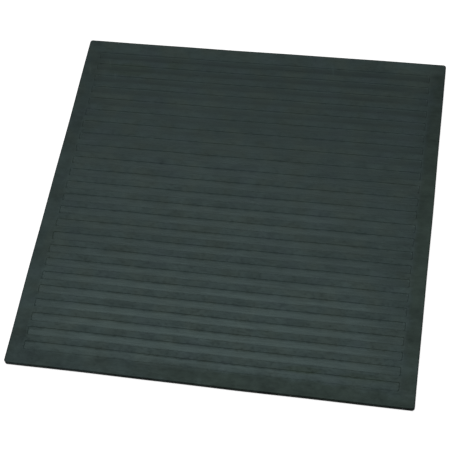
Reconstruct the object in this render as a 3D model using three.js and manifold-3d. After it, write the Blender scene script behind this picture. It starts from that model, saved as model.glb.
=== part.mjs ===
// Electrical insulating mat: one moulded rubber sheet that lies flat on the floor.
// Its upper face has a flat border round a field of long straight grooves with square ends.
// Millimetres, +Z up. The origin is the middle of the underside, and the grooves run along X.

import * as THREE from "three";
import { mergeVertices } from "three/addons/utils/BufferGeometryUtils.js";
import Module from "manifold-3d";

// The sheet
const MAT_WIDTH = 500;
const MAT_LENGTH = 500;
const MAT_THICKNESS = 6;
const MAT_CORNER_RADIUS = 2.6; // of the flat upper face, seen from above
const RIM_ROUNDING = 1.2; // radius between the upper face and the sheet's sides

// The grooves
const SIDE_BORDER = 20; // flat margin beyond the ends of the grooves
const END_BORDER = 20; // flat margin before the first groove and after the last
const GROOVE_WIDTH = 11.5; // at the upper face
const GROOVE_DEPTH = 0.7;
const GROOVE_WALL_RUN = 0.5; // how far the wall slopes in between the upper face and the floor
const GROOVE_CORNER_RADIUS = 1.4; // of the groove's floor, seen from above
const RIB_WIDTH = 8; // flat rib wanted between two grooves: the last fraction is shared out evenly

// How finely the round stretches are cut into flat ones
const CORNER_STEPS = 2; // pairs of flats in a quarter turn of an outline
const RIM_STEPS = 3;
const WALL_STEPS = 1; // one straight slope

const CUT_CLEARANCE = 1; // how far a cutting body reaches past the surface that it opens

const QUARTER_TURN = Math.PI / 2;

const wasm = await Module();
wasm.setup();

// The field that the grooves fill, and how they share it.
const fieldWidth = MAT_WIDTH - 2 * SIDE_BORDER;
const fieldLength = MAT_LENGTH - 2 * END_BORDER;
const grooveCount = Math.max(1, Math.round((fieldLength + RIB_WIDTH) / (GROOVE_WIDTH + RIB_WIDTH)));
const groovePitch = (fieldLength - GROOVE_WIDTH) / Math.max(1, grooveCount - 1);

// A rectangle about the origin with its corners rounded.
function roundedRectangle(width, length, radius) {
  const x = width / 2 - radius;
  const y = length / 2 - radius;
  const outline = new THREE.Shape();
  outline.absarc(x, -y, radius, -QUARTER_TURN, 0);
  outline.absarc(x, y, radius, 0, QUARTER_TURN);
  outline.absarc(-x, y, radius, QUARTER_TURN, 2 * QUARTER_TURN);
  outline.absarc(-x, -y, radius, 2 * QUARTER_TURN, 3 * QUARTER_TURN);
  return outline;
}

// A plate from height bottom to height top. Its sides draw in by run over the last rise at each face:
// in one step along a straight slope, in more steps along a quarter of an ellipse.
// The radius is that of the corners of the face itself.
function roundedPlate({ width, length, radius, bottom, top, run, rise, steps }) {
  const face = roundedRectangle(width - 2 * run, length - 2 * run, radius);
  const plate = new THREE.ExtrudeGeometry(face, {
    depth: top - bottom - 2 * rise,
    bevelEnabled: true,
    bevelSize: run,
    bevelThickness: rise,
    bevelSegments: steps,
    curveSegments: CORNER_STEPS,
  });
  plate.translate(0, 0, bottom + rise);
  return plate;
}

function solidOf(geometry) {
  const bare = geometry.clone();
  bare.deleteAttribute("normal");
  bare.deleteAttribute("uv");
  const merged = mergeVertices(bare);
  return new wasm.Manifold(
    new wasm.Mesh({
      numProp: 3,
      vertProperties: merged.attributes.position.array,
      triVerts: new Uint32Array(merged.index.array),
    }),
  );
}

function geometryOf(solid) {
  const mesh = solid.getMesh();
  const geometry = new THREE.BufferGeometry();
  geometry.setAttribute("position", new THREE.BufferAttribute(mesh.vertProperties, 3));
  geometry.setIndex(new THREE.BufferAttribute(mesh.triVerts, 1));
  geometry.computeVertexNormals();
  return geometry;
}

// The sheet before its grooves: rounded round the upper face, sharp round the flat underside.
function sheet() {
  const blank = roundedPlate({
    width: MAT_WIDTH,
    length: MAT_LENGTH,
    radius: MAT_CORNER_RADIUS,
    bottom: -RIM_ROUNDING - CUT_CLEARANCE,
    top: MAT_THICKNESS,
    run: RIM_ROUNDING,
    rise: RIM_ROUNDING,
    steps: RIM_STEPS,
  });
  const wasteHeight = RIM_ROUNDING + 2 * CUT_CLEARANCE;
  const waste = new THREE.BoxGeometry(
    MAT_WIDTH + 2 * CUT_CLEARANCE,
    MAT_LENGTH + 2 * CUT_CLEARANCE,
    wasteHeight,
  );
  waste.translate(0, 0, -wasteHeight / 2);
  return solidOf(blank).subtract(solidOf(waste));
}

// The hollow of one groove: a flat floor between walls that slope out to the upper face.
function groove(y) {
  const hollow = roundedPlate({
    width: fieldWidth,
    length: GROOVE_WIDTH,
    radius: GROOVE_CORNER_RADIUS,
    bottom: MAT_THICKNESS - GROOVE_DEPTH,
    top: MAT_THICKNESS + GROOVE_DEPTH + CUT_CLEARANCE,
    run: GROOVE_WALL_RUN,
    rise: GROOVE_DEPTH,
    steps: WALL_STEPS,
  });
  hollow.translate(0, y, 0);
  return solidOf(hollow);
}

function groovedSheet() {
  const firstGroove = (-groovePitch * (grooveCount - 1)) / 2;
  let mat = sheet();
  for (let i = 0; i < grooveCount; i++) {
    mat = mat.subtract(groove(firstGroove + i * groovePitch));
  }
  return mat;
}

const rubber = new THREE.MeshStandardMaterial({ color: 0x343e3d, roughness: 0.62, metalness: 0 });

const insulatingMat = new THREE.Mesh(geometryOf(groovedSheet()), rubber);
insulatingMat.name = "insulating_mat";

const part = new THREE.Group();
part.add(insulatingMat);

export default part;
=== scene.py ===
"""Electrical insulating mat: one sheet of dark green-grey rubber that lies flat, grooved side up.

Metres, +Z up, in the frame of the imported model. The origin is the middle of the underside,
and the grooves run along X.
"""

import bpy
import numpy as np
from mathutils import Matrix, Vector


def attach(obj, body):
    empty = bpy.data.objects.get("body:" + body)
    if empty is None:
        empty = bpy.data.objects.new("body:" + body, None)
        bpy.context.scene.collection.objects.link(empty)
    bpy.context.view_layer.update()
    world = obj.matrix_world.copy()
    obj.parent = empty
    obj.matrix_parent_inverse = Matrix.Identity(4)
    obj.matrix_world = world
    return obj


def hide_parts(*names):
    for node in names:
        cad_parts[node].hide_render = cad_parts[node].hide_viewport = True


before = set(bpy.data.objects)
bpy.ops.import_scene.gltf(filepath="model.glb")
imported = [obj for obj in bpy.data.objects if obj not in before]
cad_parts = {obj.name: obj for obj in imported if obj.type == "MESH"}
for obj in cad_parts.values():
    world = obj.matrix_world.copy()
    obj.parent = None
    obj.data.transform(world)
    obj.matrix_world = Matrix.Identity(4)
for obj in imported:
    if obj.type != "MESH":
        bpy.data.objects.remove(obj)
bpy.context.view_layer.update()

MM = 0.001

# The sheet, as in the part's source
MAT_WIDTH = 500 * MM
MAT_LENGTH = 500 * MM
MAT_THICKNESS = 6 * MM
RIM_ROUNDING = 1.2 * MM
CORNER_RADIUS = 3.8 * MM  # of the sheet's sides, seen from above

# The grooves, as in the part's source
SIDE_BORDER = 20 * MM
END_BORDER = 20 * MM
GROOVE_COUNT = 24
GROOVE_WIDTH = 11.5 * MM
GROOVE_DEPTH = 0.7 * MM
GROOVE_WALL_RUN = 0.5 * MM
GROOVE_END_RADIUS = 1.9 * MM  # of the groove's corners at the upper face
GROOVE_DISH = 0.01 * MM  # how far the floor rises from its middle to its long edges

# From the middle of the mat to the sides of the field that the grooves fill
FIELD_REACH_X = MAT_WIDTH / 2 - SIDE_BORDER
FIELD_REACH_Y = MAT_LENGTH / 2 - END_BORDER

# Where the mesh has its lines, in millimetres
RIM_INSETS = (0, 0.04, 0.16, 0.35, 0.6, 0.9, 1.2, 1.9, 2.8, 3.8)  # in from the sheet's sides
WALL_SHARES = (0, 0.13, 0.27, 0.42, 0.58, 0.73, 0.87, 1)  # of the wall's run, in from a groove's lip
LIP_LINES = (-1, -0.1)  # before a groove's lip
FLOOR_LINES = (0.12, 1, 2.4)  # past the wall's foot
SIDE_HEIGHTS = (3.6, 2.4, 1.2)  # on the sheet's sides, between the rim and the underside
LINE_SPACING = 40  # widest gap between two lines
LINE_DIGITS = 7  # lines that agree to this many digits of a metre are one line

SHARP_ANGLE = 50  # degrees between two faces, above which their edge is drawn sharp

# How far the moulding strays from straight and flat
WAVER = 0.22 * MM
SWELL = 0.05 * MM

# Its slow waves: length in metres, then heading and phase in radians
LONG_SWELL = (0.31, 0.4, 1.0)
SHORT_SWELL = (0.13, 2.1, 4.0)
SWELL_CHANGE = (0.4, 1.2, 0)  # makes the short swell come and go
WAVER_X = ((0.37, 1.4, 0.6), (0.16, 1.7, 2.2))  # the long wave and the short one
WAVER_Y = ((0.33, 0.2, 5.1), (0.14, -0.1, 1.3))
SHORT_WAVER_SHARE = 0.6

# Where a groove's floor takes on its gloss: start and end of the ramp, in millimetres
FAR_LIP_RAMP = (1.4, 3.7)  # in from the lip on the +Y side
NEAR_LIP_RAMP = (-2.6, 3.4)  # in from the lip on the -Y side
END_RAMP = (0.3, 2.3)  # in from the groove's ends
NEAR_EDGE_RAMP = (223, 230)  # from the mat's middle towards -Y, where the floor loses gloss again
NEAR_EDGE_LOSS = 0.85

PAINTED_RIM_SHADE = 0.9 * MM  # how far in from the sheet's sides the rim is painted darker, a painted shade; the sides are painted darker too

# Rubbed lines on the upper face: start and end, and half their width, in millimetres
SCUFFS = (
    ((-216, 221), (-210, 201), 1.6),
    ((-205, 203), (-199, 182), 1.4),
    ((-192, 207), (-150, 206), 1.3),
    ((96, 238), (101, 214), 1.7),
    ((-241, 205), (-236, 188), 1.8),
)
SCUFF_CORE = 0.2  # share of a line's half width that is fully rubbed
SCUFF_FULL = (0.3, 0.6)  # the stretch of its length that is fully rubbed, as shares

# Mossy stains on the upper face: middle and reach in millimetres, and strength
STAINS = (
    ((-184, 203), (38, 12), 0.7),
    ((-122, 218), (12, 11), 0.6),
    ((114, -217), (26, 6), 1),
    ((186, -219), (30, 6), 0.8),
    ((70, -173), (18, 5), 0.4),
    ((90, -243), (190, 14), 0.8),
    ((243, -10), (12, 270), 0.8),
)

# Dark rubbed spots on the ribs, given as the stains are
RUBS = (
    ((-124, -155), (20, 5), 0.8),
    ((-116, -195), (18, 5), 1),
    ((155, -191), (18, 5), 0.6),
    ((75, -110), (20, 5), 0.5),
)
STAIN_RAGGEDNESS = 1.6
STAIN_FADE = (0.3, 1.2)  # from full to gone, in squares of the reach

# Stretches of the mat whose groove floors are duller: lowest and highest Y
DULL_ROWS = ((-135 * MM, -20 * MM), (65 * MM, 145 * MM))
DULL_ROWS_RAMP = 30 * MM  # inside each end of a stretch

# Where the finish changes, from start to end, measured from the mat's middle
BORDER_RAMP = 3 * MM  # the border's own shade starts this far outside the field
WORN_FRONT = (200 * MM, 216 * MM)  # towards -Y
FAR_HALF = (0, 200 * MM)  # towards +Y
OUTER_SIDES = (215 * MM, 232 * MM)  # towards both sides
RIGHT_ENDS = (227 * MM, 229 * MM)  # towards +X, where the groove walls lose their painted light and are painted darker, a painted shade
DULL_RIGHT = (160 * MM, 235 * MM)
DULL_LEFT = (150 * MM, 230 * MM)

# Noise patterns in the rubber: size of a blot in millimetres, detail and roughness of the noise,
# factor on the coordinate along the grooves, and an offset that makes the patterns differ
PATTERNS = {
    "clouds": {"size": 60, "detail": 3},
    "drift": {"size": 34, "detail": 1.5, "offset": (3, 0, 0)},
    "patches": {"size": 13, "detail": 3, "roughness": 0.6, "along": 0.7, "offset": (0, 4, 0)},
    "streaks": {"size": 1.6, "detail": 2, "along": 0.05},
    "smudges": {"size": 3.2, "detail": 3, "roughness": 0.65, "along": 0.6, "offset": (0, 7, 0)},
    "grain": {"size": 0.55, "detail": 2},
    "speckle": {"size": 1.3, "detail": 2, "roughness": 0.7, "offset": (0, 0, 5)},
}
NOISE_MIDDLE = 0.5

# Colours of the rubber, and where the drift pattern leads from teal to the next two
TEAL = (0.0375, 0.0575, 0.0548, 1)
OLIVE = (0.0415, 0.058, 0.0495, 1)
BLUE = (0.0385, 0.056, 0.0585, 1)
MOSS = (0.038, 0.058, 0.039, 1)
DRIFT_TO_OLIVE = (0.46, 0.64)
DRIFT_TO_BLUE = (0.46, 0.3)
GLOSS_TINT = (0.72, 1, 0.97, 1)

SMUDGE_RANGE = (0.47, 0.68)  # of the smudge pattern, from clean to dark
SMUDGES_OFF_BORDER = 0.65  # share of the smudges that the border lacks

# What each cause adds to the rubber's brightness, as a share of it
SHADE = {
    "floors": -0.48,
    "border": -0.14,
    "far border": 0.06,
    # painted shade on the rim and on the sheet's sides
    "rim": -0.5,
    "smudges": -0.15,
    # painted light: the groove walls are painted lighter
    "walls": 1.5,
    # painted shade: the walls at the right ends lose the painted light and are painted darker
    "painted shade on the right end walls": -2.4,
    "clouds": 0.3,
    "patches": 0.5,
    "patches on floors": -0.15,
    "speckle": 0.3,
    "streaks": 0.4,
    "streaks on floors": 0.4,
    "scuffs": 0.3,
    "far sides": -0.2,
    "worn ribs in front": -0.12,
    "patches on the whole border": 0.3,
    "clouds on the whole border": 0.5,
    "rubs": -0.3,
    "stains": -0.12,
}

# What each cause adds to the roughness of the plain rubber
PLAIN_ROUGHNESS = 0.47
ROUGHNESS = {
    "floors": -0.185,
    "dull rows": 0.035,
    "dull right": 0.11,
    "dull left": 0.04,
    "border": 0.04,
    "patches": -0.25,
    "patches on floors": 0.2,
    "smudges": 0.1,
    "streaks on floors": -0.15,
}

# The relief that only bends the light: share of each pattern in it, and its strength and height
GRAIN_RELIEF = 0.35
STREAK_RELIEF = 0.5
SPECKLE_RELIEF = 0.4
RELIEF_STRENGTH = 0.2
RELIEF_HEIGHT = 0.05 * MM

# The stage
PALE = 0.9
PALE_ROUGHNESS = 0.9
PALE_GLOW = 0.8
FLOOR_REACH = 20
FLOOR_DROP = 0.1 * MM  # how far the floor lies under the mat, so that the two never share a plane
BACKDROP_RADIUS = 19
BACKDROP_HEIGHTS = (-0.01, 12)
BACKDROP_SIDES = 64

# The light
LAMP_ENERGY = 0.81
LAMP_DISC = 39.7  # degrees across
LAMP_DIRECTION = (-0.159, 0.202, 1)  # from the mat to the lamp
SURROUND_STRENGTH = 0.12

# The camera
CAMERA_PLACE = (0.2429, -0.7796, 1.341)
CAMERA_AIM = (-0.0108, -0.0266, 0)
CAMERA_ROLL = -10.775  # degrees
CAMERA_SENSOR = 36  # millimetres, like the lens
CAMERA_LENS = 97.09
CAMERA_CLIP = (0.05, 60)

# Where the Mix node has its colours
FIRST_COLOUR = 6
SECOND_COLOUR = 7
MIXED_COLOUR = 2


def groove_centres():
    """Y of each groove's middle line: evenly spaced, the outer ones END_BORDER in from the sides."""
    reach = FIELD_REACH_Y - GROOVE_WIDTH / 2
    return np.linspace(-reach, reach, GROOVE_COUNT)


def lines_across(half_size, groove_edges):
    """Sorted positions of the mesh lines along one side of the sheet.

    They crowd together at the rim and at each groove edge. Each edge is given as its position
    and the direction, +1 or -1, in which the groove opens. A gap wider than LINE_SPACING is
    divided into equal parts that are no wider.
    """
    rim = half_size - np.array(RIM_INSETS) * MM
    insets = np.array([
        *(np.array(LIP_LINES) * MM),
        *(np.array(WALL_SHARES) * GROOVE_WALL_RUN),
        *(GROOVE_WALL_RUN + np.array(FLOOR_LINES) * MM),
    ])
    walls = [place + inward * insets for place, inward in groove_edges]
    lines = np.unique(np.concatenate([rim, -rim, *walls]).round(LINE_DIGITS))
    gaps = np.diff(lines)
    parts = np.ceil(gaps / (LINE_SPACING * MM)).astype(int)
    steps = [a + gap * np.arange(n) / n for a, gap, n in zip(lines, gaps, parts)]
    return np.concatenate([*steps, lines[-1:]])


def rounded_corners(x, y):
    """Bends the square sheet's corners round, and gives each point's inset from the sides.

    In a corner the point (u, v), counted in corner radii from the arc's centre, goes to
    (u * sqrt(1 - v^2 / 2), v * sqrt(1 - u^2 / 2)), which takes the square's sides to the arc.
    """
    across = MAT_WIDTH / 2 - CORNER_RADIUS
    along = MAT_LENGTH / 2 - CORNER_RADIUS
    u = (np.abs(x) - across) / CORNER_RADIUS
    v = (np.abs(y) - along) / CORNER_RADIUS
    in_corner = (u > 0) & (v > 0)
    bent_u = u * np.sqrt(np.clip(1 - v**2 / 2, 0, 1))
    bent_v = v * np.sqrt(np.clip(1 - u**2 / 2, 0, 1))
    x = np.where(in_corner, np.sign(x) * (across + CORNER_RADIUS * bent_u), x)
    y = np.where(in_corner, np.sign(y) * (along + CORNER_RADIUS * bent_v), y)
    reach = np.where(in_corner, np.hypot(bent_u, bent_v), np.maximum(u, v))
    return x, y, CORNER_RADIUS * (1 - reach)


def smooth_step(t):
    """t^2 * (3 - 2 t), with t kept between 0 and 1."""
    t = np.clip(t, 0, 1)
    return t * t * (3 - 2 * t)


def ramp(distance, start, end):
    """The smooth step of a distance in metres between a start and an end in millimetres."""
    return smooth_step((distance - start * MM) / ((end - start) * MM))


def off_groove(y):
    """How far each point lies from the middle line of the groove nearest to it, towards +Y."""
    centres = groove_centres()
    return y - centres[np.abs(y[..., None] - centres).argmin(-1)]


def groove_hollow(x, y):
    """How deep the nearest groove is at a point, and the share of its wall there.

    The distance into a rectangle with round corners, over the run of the wall, goes through the
    smooth step. The floor rises with the square of the way to its long edges. The wall's share
    is 1 half-way down the wall and 0 at its top and foot: 4 * step(t) * step(1 - t).
    """
    off_middle = np.abs(off_groove(y))
    over_x = np.abs(x) - (FIELD_REACH_X - GROOVE_END_RADIUS)
    over_y = off_middle - (GROOVE_WIDTH / 2 - GROOVE_END_RADIUS)
    outside = np.hypot(np.maximum(over_x, 0), np.maximum(over_y, 0))
    depth_in = GROOVE_END_RADIUS - outside - np.minimum(np.maximum(over_x, over_y), 0)
    t = depth_in / GROOVE_WALL_RUN
    to_long_edge = np.clip(off_middle / (GROOVE_WIDTH / 2), 0, 1)
    depth = smooth_step(t) * (GROOVE_DEPTH - GROOVE_DISH * to_long_edge**2)
    return depth, 4 * smooth_step(t) * smooth_step(1 - t)


def floor_gloss(x, y):
    """The share of a groove floor's gloss at a point.

    It is the product of ramps in from the groove's two lips and its end, so it fades into the
    dull edges, and it fades once more towards the mat's worn near edge.
    """
    gloss = ramp(GROOVE_WIDTH / 2 - off_groove(y), *FAR_LIP_RAMP)
    gloss = gloss * ramp(GROOVE_WIDTH / 2 + off_groove(y), *NEAR_LIP_RAMP)
    gloss = gloss * ramp(FIELD_REACH_X - np.abs(x), *END_RAMP)
    return gloss * (1 - NEAR_EDGE_LOSS * ramp(-y, *NEAR_EDGE_RAMP))


def rim_drop(inset):
    """How far the upper face falls in the rounded rim: r - sqrt(r^2 - (r - inset)^2)."""
    short = np.clip(RIM_ROUNDING - inset, 0, RIM_ROUNDING)
    return RIM_ROUNDING - np.sqrt(RIM_ROUNDING**2 - short**2)


def wave(x, y, length, heading, phase):
    """A sine of the distance along a heading, in turns of length."""
    return np.sin(2 * np.pi * (x * np.cos(heading) + y * np.sin(heading)) / length + phase)


def swell(x, y):
    """How far the upper face rises: a long wave, plus a short one times a wave of its own."""
    short = wave(x, y, *SHORT_SWELL) * wave(x, y, *SWELL_CHANGE)
    return SWELL * (wave(x, y, *LONG_SWELL) + short)


def waver(x, y, long_wave, short_wave):
    """How far a point strays sideways: a long wave plus a weaker short one."""
    return WAVER * (wave(x, y, *long_wave) + SHORT_WAVER_SHARE * wave(x, y, *short_wave))


def quads(points):
    """The corner indices of the faces between neighbours in a table of point indices."""
    corners = [points[:-1, :-1], points[:-1, 1:], points[1:, 1:], points[1:, :-1]]
    return np.stack(corners, -1).reshape(-1, 4)


def add_object(name, data):
    """Puts a new object into the scene."""
    added = bpy.data.objects.new(name, data)
    bpy.context.scene.collection.objects.link(added)
    return added


def add_surface(name, points, faces):
    """Puts a new surface into the scene."""
    mesh = bpy.data.meshes.new(name)
    mesh.from_pydata(points, [], faces)
    return add_object(name, mesh)


def moulded_mat():
    """The sheet as one closed surface.

    Upper face: a grid of lines along X and Y with the height
    thickness - rim drop - groove hollow + a slight swell.
    Sides: the grid's outline repeated at lower heights. Underside: the same grid at height 0.
    A slow waver moves all points sideways together, as in a soft sheet that lies loose.
    """
    ends = [(-FIELD_REACH_X, 1), (FIELD_REACH_X, -1)]
    lips = [(c + s * GROOVE_WIDTH / 2, -s) for c in groove_centres() for s in (-1, 1)]
    x_lines = lines_across(MAT_WIDTH / 2, ends)
    y_lines = lines_across(MAT_LENGTH / 2, lips)
    flat_x, flat_y = np.meshgrid(x_lines, y_lines)
    hollow, wall = groove_hollow(flat_x, flat_y)
    gloss = floor_gloss(flat_x, flat_y)
    x, y, inset = rounded_corners(flat_x, flat_y)
    z = MAT_THICKNESS - rim_drop(inset) - hollow + swell(x, y)

    index = np.arange(x.size).reshape(x.shape)
    ring = np.concatenate([index[0, :-1], index[:-1, -1], index[-1, :0:-1], index[:0:-1, 0]])
    levels = np.array(SIDE_HEIGHTS)[:, None] * MM
    side_x = np.broadcast_to(x.ravel()[ring], (len(levels), ring.size))
    side_y = np.broadcast_to(y.ravel()[ring], side_x.shape)
    side_z = np.broadcast_to(levels, side_x.shape)
    side_index = x.size + np.arange(side_x.size).reshape(side_x.shape)
    under_index = index + x.size + side_x.size
    under_ring = under_index.ravel()[ring]

    points = np.stack([
        np.concatenate([x.ravel(), side_x.ravel(), x.ravel()]),
        np.concatenate([y.ravel(), side_y.ravel(), y.ravel()]),
        np.concatenate([z.ravel(), side_z.ravel(), np.zeros(x.size)]),
    ], -1)
    straying = [waver(points[:, 0], points[:, 1], *waves) for waves in (WAVER_X, WAVER_Y)]
    points[:, :2] += np.stack(straying, -1)

    sides = np.vstack([under_ring, side_index[::-1], ring])
    sides = np.hstack([sides, sides[:, :1]])
    faces = np.concatenate([quads(index), quads(sides), quads(under_index)[:, ::-1]])

    mat = add_surface("moulded_mat", points, faces)
    mat.data.shade_smooth()
    mat.data.set_sharp_from_angle(angle=np.radians(SHARP_ANGLE))
    # painted shade: the rim is painted darker, fading in from the sheet's sides, and the sides are painted
    # darker wholly
    rim = smooth_step(1 - inset / PAINTED_RIM_SHADE).ravel()
    off_upper_face = np.zeros(side_x.size + x.size)
    values = {
        "groove": [gloss.ravel(), off_upper_face],
        "edge": [rim, np.ones(side_x.size), rim],
        # the wall share, which the rubber uses to paint light and shade on the groove walls
        "wall": [wall.ravel(), off_upper_face],
    }
    for name, pieces in values.items():
        attribute = mat.data.attributes.new(name, "FLOAT", "POINT")
        attribute.data.foreach_set("value", np.concatenate(pieces))
    return mat


class Socket:
    """A node's output. Arithmetic on it adds Math nodes."""

    def __init__(self, finish, link):
        self.finish = finish
        self.link = link

    def __add__(self, other):
        return self.finish.math("ADD", self, other)

    def __sub__(self, other):
        return self.finish.math("SUBTRACT", self, other)

    def __rsub__(self, other):
        return self.finish.math("SUBTRACT", other, self)

    def __mul__(self, other):
        return self.finish.math("MULTIPLY", self, other)

    def __abs__(self):
        return self.finish.math("ABSOLUTE", self)

    __radd__ = __add__
    __rmul__ = __mul__


class Finish:
    """A material and the nodes that make it."""

    def __init__(self, name):
        self.material = bpy.data.materials.new(name)
        self.material.use_nodes = True
        self.tree = self.material.node_tree
        self.tree.nodes.clear()

    def node(self, kind, settings=None, sockets=None, output=0):
        """Adds a node, sets its settings, then gives its sockets their values or links."""
        node = self.tree.nodes.new(kind)
        for name, value in (settings or {}).items():
            setattr(node, name, value)
        for name, value in (sockets or {}).items():
            if isinstance(value, Socket):
                self.tree.links.new(value.link, node.inputs[name])
            else:
                node.inputs[name].default_value = value
        return Socket(self, node.outputs[output]) if len(node.outputs) else None

    def math(self, operation, *values):
        """A Math node on numbers or outputs."""
        return self.node("ShaderNodeMath", {"operation": operation}, dict(enumerate(values)))

    def attribute(self, name):
        """A value that the mesh holds for each of its points."""
        return self.node("ShaderNodeAttribute", {"attribute_name": name}, {}, "Fac")

    def step(self, value, start, end):
        """0 up to the start, 1 from the end on, and a smooth step between; either may be the lower."""
        settings = {"interpolation_type": "SMOOTHSTEP"}
        sockets = {"Value": value, "From Min": start, "From Max": end}
        return self.node("ShaderNodeMapRange", settings, sockets)

    def noise(self, place, size, detail, roughness=0.5, along=1, offset=(0, 0, 0)):
        """Soft noise from 0 to 1, as the table of patterns describes it."""
        scale = (along, 1, 1)
        shifted = self.node("ShaderNodeMapping", {}, {"Vector": place, "Scale": scale, "Location": offset})
        sockets = {"Vector": shifted, "Scale": 1 / (size * MM), "Detail": detail, "Roughness": roughness}
        return self.node("ShaderNodeTexNoise", {}, sockets)

    def mix(self, amount, first, second, blend_type="MIX"):
        """From the first colour to the second, or in another blend to their combination."""
        settings = {"data_type": "RGBA", "blend_type": blend_type}
        sockets = {"Factor": amount, FIRST_COLOUR: first, SECOND_COLOUR: second}
        return self.node("ShaderNodeMix", settings, sockets, MIXED_COLOUR)

    def surface(self, sockets):
        """The material's surface."""
        principled = self.node("ShaderNodeBsdfPrincipled", {}, sockets)
        self.node("ShaderNodeOutputMaterial", {}, {"Surface": principled})


def grey(level):
    """An opaque grey."""
    return (level, level, level, 1)


def scuff(finish, axes, start, end, width):
    """A faint rubbed line on the upper face: 1 on it and 0 off it, fading at both ends.

    Along and across the line are the dot and cross products of its direction with the way from
    its start.
    """
    length = float(np.hypot(end[0] - start[0], end[1] - start[1]))
    east, north = (end[0] - start[0]) / length, (end[1] - start[1]) / length
    x = axes[0] - start[0] * MM
    y = axes[1] - start[1] * MM
    along = x * east + y * north
    across = abs(y * east - x * north)
    fade_in, fade_out = (share * length * MM for share in SCUFF_FULL)
    on_line = 1 - finish.step(across, SCUFF_CORE * width * MM, width * MM)
    return on_line * finish.step(along, 0, fade_in) * (1 - finish.step(along, fade_out, length * MM))


def stain(finish, axes, pattern, centre, reach, strength):
    """A faint stain: an ellipse with a soft edge that a noise pattern breaks up.

    The squares of the way from the centre, counted in reaches along each axis, are added, and
    the sum with the noise goes through a smooth step.
    """
    x = (axes[0] - centre[0] * MM) * (1 / (reach[0] * MM))
    y = (axes[1] - centre[1] * MM) * (1 / (reach[1] * MM))
    ragged = x * x + y * y + STAIN_RAGGEDNESS * (pattern - NOISE_MIDDLE)
    return strength * (1 - finish.step(ragged, *STAIN_FADE))


def total(start, strengths, causes):
    """The start value, plus each cause times its strength."""
    return sum((strength * causes[name] for name, strength in strengths.items()), start)


def rubber():
    """Moulded rubber: dull on the upper face, smoother on the groove floors, with dark smudges,
    fine streaks along the grooves and a slight drift of colour between teal, olive and blue."""
    finish = Finish("rubber")
    place = finish.node("ShaderNodeTexCoord", {}, {}, "Object")
    axes = [finish.node("ShaderNodeSeparateXYZ", {}, {"Vector": place}, k) for k in range(2)]
    x, y = axes
    to_left = -1 * x
    to_front = -1 * y

    # Regions of the mat
    floors = finish.attribute("groove")
    walls = finish.attribute("wall")
    ribs = 1 - floors
    ends = finish.step(abs(x), FIELD_REACH_X, FIELD_REACH_X + BORDER_RAMP)
    front = finish.step(to_front, FIELD_REACH_Y, FIELD_REACH_Y + BORDER_RAMP)
    far_border = finish.step(y, FIELD_REACH_Y, FIELD_REACH_Y + BORDER_RAMP)
    border = finish.math("MAXIMUM", ends, front)
    whole_border = border + far_border
    dull_rows = sum(
        finish.step(y, low, low + DULL_ROWS_RAMP) * (1 - finish.step(y, high - DULL_ROWS_RAMP, high))
        for low, high in DULL_ROWS
    )

    # Patterns and marks
    noises = {name: finish.noise(place, **pattern) for name, pattern in PATTERNS.items()}
    clouds = noises["clouds"] - NOISE_MIDDLE
    patches = noises["patches"] - NOISE_MIDDLE
    streaks = noises["streaks"] - NOISE_MIDDLE
    smudges = finish.step(noises["smudges"], *SMUDGE_RANGE) * ribs * (1 - SMUDGES_OFF_BORDER * border)
    stains = sum(stain(finish, axes, noises["patches"], *marks) for marks in STAINS)

    causes = {
        "floors": floors,
        "border": border,
        "far border": far_border,
        # painted shade on the rim and on the sheet's sides
        "rim": finish.attribute("edge"),
        # painted light on the groove walls
        "walls": walls,
        # painted shade on the groove walls at the right ends
        "painted shade on the right end walls": walls * finish.step(x, *RIGHT_ENDS),
        "far sides": finish.step(y, *FAR_HALF) * finish.step(abs(x), *OUTER_SIDES),
        "worn ribs in front": finish.step(to_front, *WORN_FRONT) * ribs,
        "dull rows": floors * dull_rows,
        "dull right": floors * finish.step(x, *DULL_RIGHT),
        "dull left": floors * finish.step(to_left, *DULL_LEFT),
        "clouds": clouds,
        "clouds on the whole border": whole_border * clouds,
        "patches": patches,
        "patches on floors": floors * patches,
        "patches on the whole border": whole_border * patches,
        "streaks": streaks,
        "streaks on floors": floors * streaks,
        "speckle": noises["speckle"] - NOISE_MIDDLE,
        "smudges": smudges,
        "scuffs": sum(scuff(finish, axes, *marks) for marks in SCUFFS),
        "rubs": sum(stain(finish, axes, noises["smudges"], *marks) for marks in RUBS),
        "stains": stains,
    }

    # Colour
    colour = finish.mix(finish.step(noises["drift"], *DRIFT_TO_OLIVE), TEAL, OLIVE)
    colour = finish.mix(finish.step(noises["drift"], *DRIFT_TO_BLUE), colour, BLUE)
    colour = finish.mix(stains, colour, MOSS)
    shade = total(1, SHADE, causes)
    tone = finish.node("ShaderNodeCombineColor", {}, {"Red": shade, "Green": shade, "Blue": shade})
    colour = finish.mix(1, colour, tone, "MULTIPLY")

    # Relief
    height = GRAIN_RELIEF * noises["grain"] + SPECKLE_RELIEF * noises["speckle"]
    height = height + STREAK_RELIEF * noises["streaks"] * floors
    bump = {"Strength": RELIEF_STRENGTH, "Distance": RELIEF_HEIGHT, "Height": height}

    finish.surface({
        "Base Color": colour,
        "Roughness": total(PLAIN_ROUGHNESS, ROUGHNESS, causes),
        "Normal": finish.node("ShaderNodeBump", {}, bump),
        "Specular Tint": GLOSS_TINT,
    })
    return finish.material


def pale_paint():
    """Pale paint for the stage, lit evenly from within so that it stays white round the mat."""
    finish = Finish("pale_floor")
    finish.surface({
        "Base Color": grey(PALE),
        "Roughness": PALE_ROUGHNESS,
        "Emission Color": grey(1),
        "Emission Strength": PALE_GLOW,
    })
    return finish.material


def pale_floor(paint):
    """A wide pale floor."""
    sides = ((-1, -1), (1, -1), (1, 1), (-1, 1))
    corners = [(x * FLOOR_REACH, y * FLOOR_REACH, -FLOOR_DROP) for x, y in sides]
    floor = add_surface("floor", corners, [(0, 1, 2, 3)])
    floor.data.materials.append(paint)
    floor.visible_glossy = False


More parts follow.
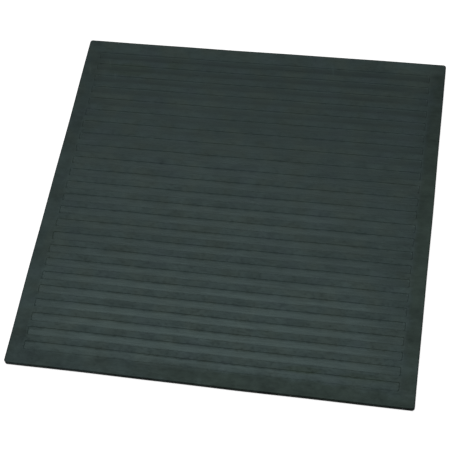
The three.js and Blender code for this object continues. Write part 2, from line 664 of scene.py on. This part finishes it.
def pale_backdrop(paint):
    """A round wall far off, as pale as the floor, for views from low down."""
    turn = np.linspace(0, 2 * np.pi, BACKDROP_SIDES + 1)
    x = np.broadcast_to(BACKDROP_RADIUS * np.cos(turn), (2, turn.size))
    y = np.broadcast_to(BACKDROP_RADIUS * np.sin(turn), x.shape)
    z = np.broadcast_to(np.array(BACKDROP_HEIGHTS)[:, None], x.shape)
    points = np.stack([x, y, z], -1).reshape(-1, 3)
    index = np.arange(x.size).reshape(x.shape)
    backdrop = add_surface("backdrop", points, quads(index[:, ::-1]))
    backdrop.data.materials.append(paint)
    backdrop.visible_diffuse = False
    backdrop.visible_glossy = False
    backdrop.visible_shadow = False


def soft_light():
    """A broad round light high overhead, tipped slightly to the far left, and a dim even surround."""
    light = bpy.data.lights.new("overhead", "SUN")
    light.energy = LAMP_ENERGY
    light.angle = np.radians(LAMP_DISC)
    lamp = add_object("overhead", light)
    lamp.rotation_mode = "QUATERNION"
    lamp.rotation_quaternion = Vector(LAMP_DIRECTION).to_track_quat("Z", "Y")
    world = bpy.data.worlds.new("surround")
    world.use_nodes = True
    background = world.node_tree.nodes["Background"]
    background.inputs["Color"].default_value = grey(1)
    background.inputs["Strength"].default_value = SURROUND_STRENGTH
    bpy.context.scene.world = world


def place_camera():
    """The camera that the photograph was taken with, worked out from the mat's four corners."""
    data = bpy.data.cameras.new("camera")
    data.sensor_width = CAMERA_SENSOR
    data.lens = CAMERA_LENS
    data.clip_start, data.clip_end = CAMERA_CLIP
    location = Vector(CAMERA_PLACE)
    roll = np.radians(CAMERA_ROLL)
    forward = (Vector(CAMERA_AIM) - location).normalized()
    level = forward.cross(Vector((0, 0, 1))).normalized()
    right = level * np.cos(roll) + level.cross(forward) * np.sin(roll)
    up = right.cross(forward)
    camera = add_object("camera", data)
    camera.matrix_world = Matrix((right, up, -forward)).transposed().to_4x4()
    camera.location = location
    bpy.context.scene.camera = camera


mat = moulded_mat()
mat.data.materials.append(rubber())
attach(mat, "root")
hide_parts("insulating_mat")

paint = pale_paint()
pale_floor(paint)
pale_backdrop(paint)
soft_light()
place_camera()

bpy.context.scene.view_settings.view_transform = "Standard"
